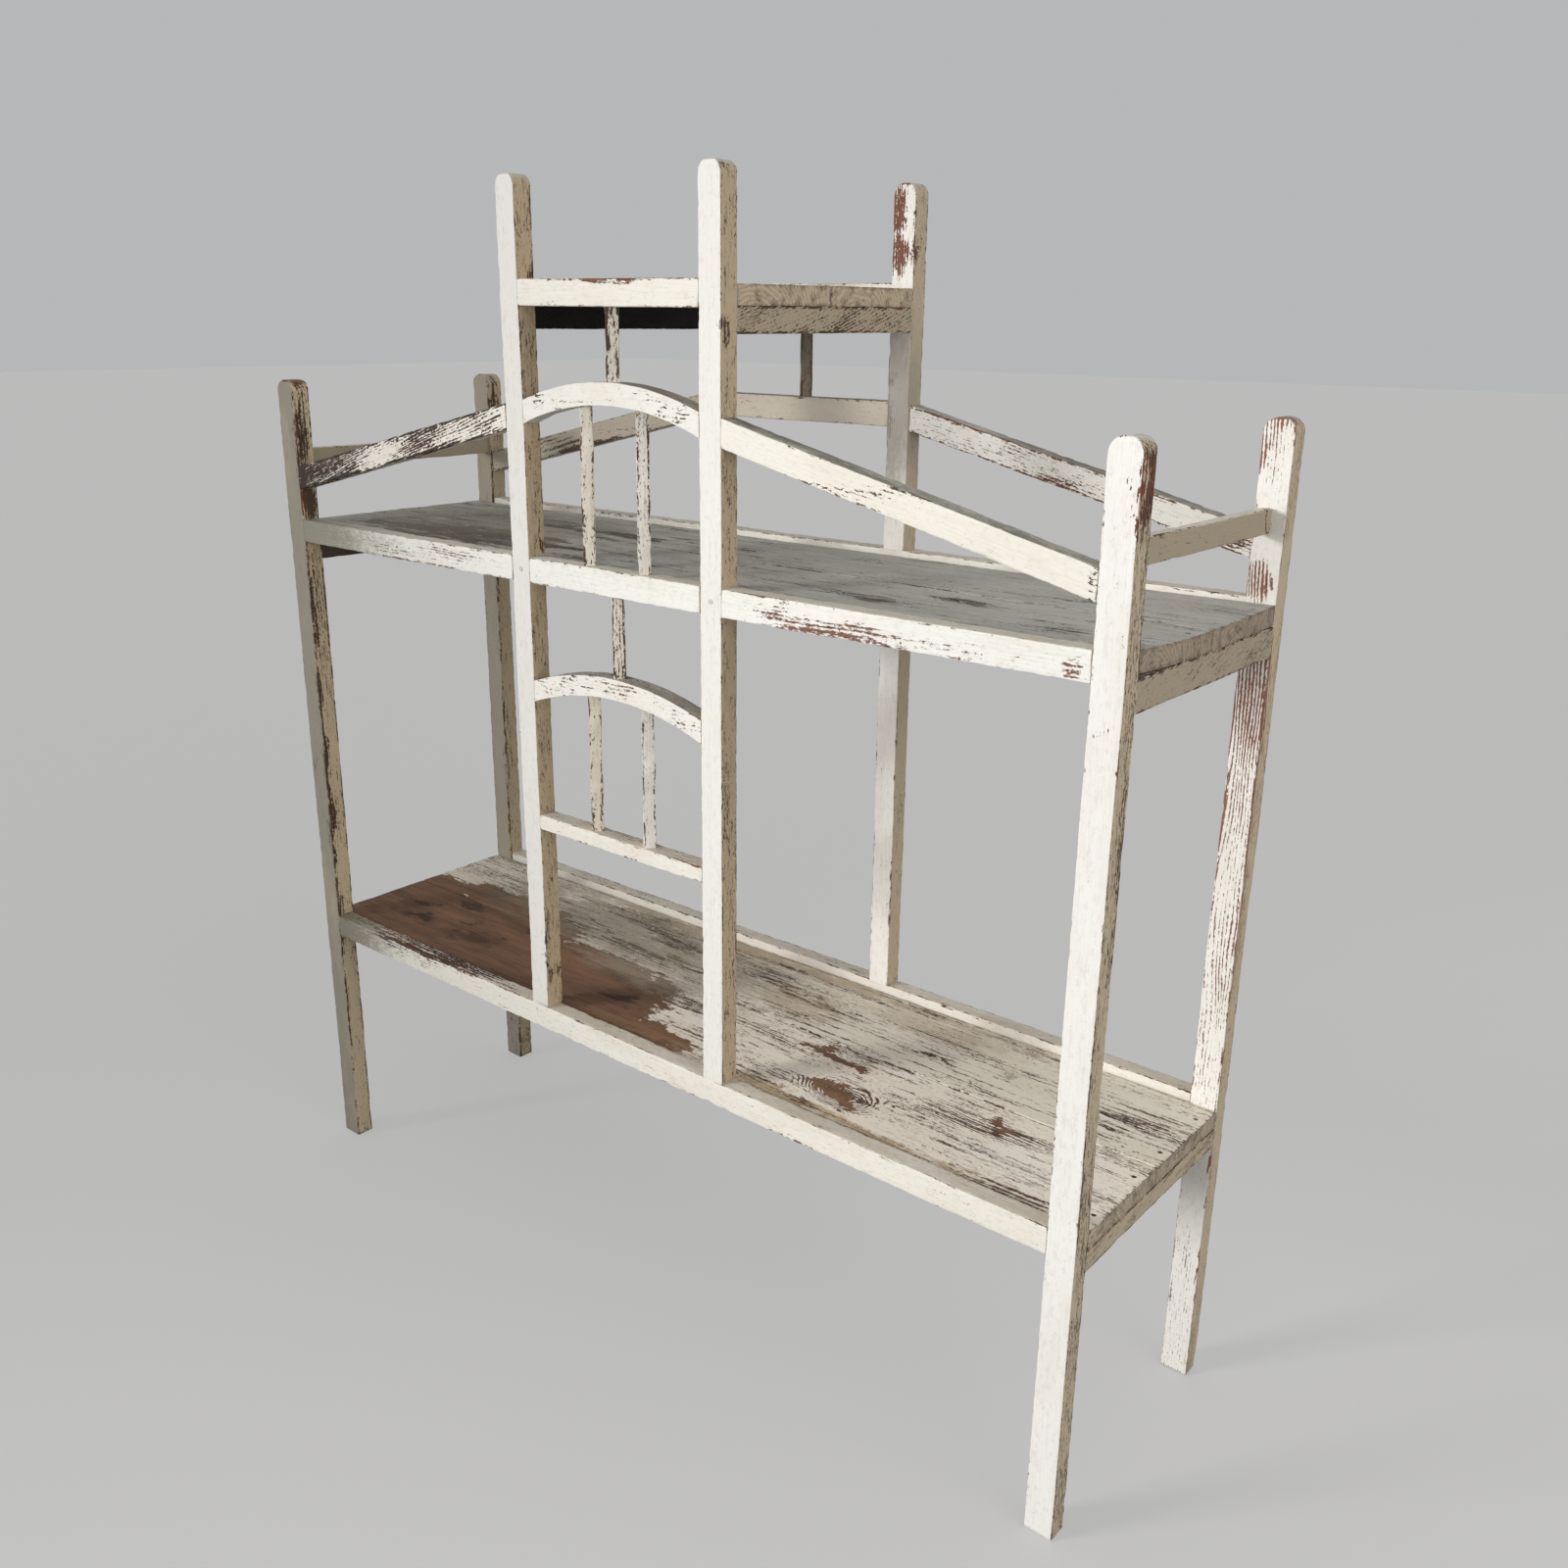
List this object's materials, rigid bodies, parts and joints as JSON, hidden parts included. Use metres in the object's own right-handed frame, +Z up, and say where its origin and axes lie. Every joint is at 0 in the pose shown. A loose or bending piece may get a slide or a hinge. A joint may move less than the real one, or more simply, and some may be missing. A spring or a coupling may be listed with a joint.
{
  "type": "plant rack",
  "caption": "Free-standing painted wood plant rack: two long railed shelves and a short raised top shelf between taller centre posts, with sloping side rails and an arched trellis in front.",
  "frame": {"origin": "on the floor, under the middle of the rack", "axes": "+X along the shelves to the right, -Y towards the front with the trellis, +Z up"},
  "size_m": [1.326, 0.374, 1.446],
  "materials": {
    "post_paint": "chalky cream-white paint over softwood, flaking along the grain, brown wood at the worn edges",
    "rail_paint": "chalky cream-white paint over softwood, worn through on the top edges",
    "baluster_paint": "thin beige paint over rough split wood, with brown flecks",
    "worn_board_paint": "greyish cream paint in streaks, worn off to bare reddish-brown wood at the left",
    "weathered_board_paint": "grey-brown weathered paint, streaked along the grain",
    "nail_iron": "dull rusted iron"
  },
  "bodies": {
    "root": {"corner_post_front_left": "post_paint", "corner_post_front_right": "post_paint", "corner_post_back_left": "post_paint", "corner_post_back_right": "post_paint", "centre_post_front_left": "post_paint", "centre_post_front_right": "post_paint", "centre_post_back_left": "post_paint", "centre_post_back_right": "post_paint", "lower_rail_front": "rail_paint", "lower_rail_back": "rail_paint", "lower_rail_left": "rail_paint", "lower_rail_right": "rail_paint", "middle_rail_front": "rail_paint", "middle_rail_back": "rail_paint", "middle_rail_left": "rail_paint", "middle_rail_right": "rail_paint", "top_rail_front": "rail_paint", "top_rail_back": "rail_paint", "top_rail_left": "rail_paint", "top_rail_right": "rail_paint", "lower_board_front": "worn_board_paint", "lower_board_back": "worn_board_paint", "middle_board_front": "weathered_board_paint", "middle_board_back": "weathered_board_paint", "top_board_front": "weathered_board_paint", "top_board_back": "weathered_board_paint", "sloping_rail_front_left": "rail_paint", "sloping_rail_front_right": "rail_paint", "sloping_rail_back_left": "rail_paint", "sloping_rail_back_right": "rail_paint", "guard_rail_left": "rail_paint", "guard_rail_right": "rail_paint", "upper_arch": "rail_paint", "lower_arch": "rail_paint", "trellis_rail": "rail_paint", "back_cross_rail": "rail_paint", "baluster_top": "baluster_paint", "baluster_upper_left": "baluster_paint", "baluster_upper_right": "baluster_paint", "baluster_middle": "baluster_paint", "baluster_lower_left": "baluster_paint", "baluster_lower_right": "baluster_paint", "baluster_back": "baluster_paint", "lower_board_nails": "nail_iron", "middle_board_nails": "nail_iron", "top_board_nails": "nail_iron", "crossing_nails": "nail_iron"}
  },
  "joints": []
}
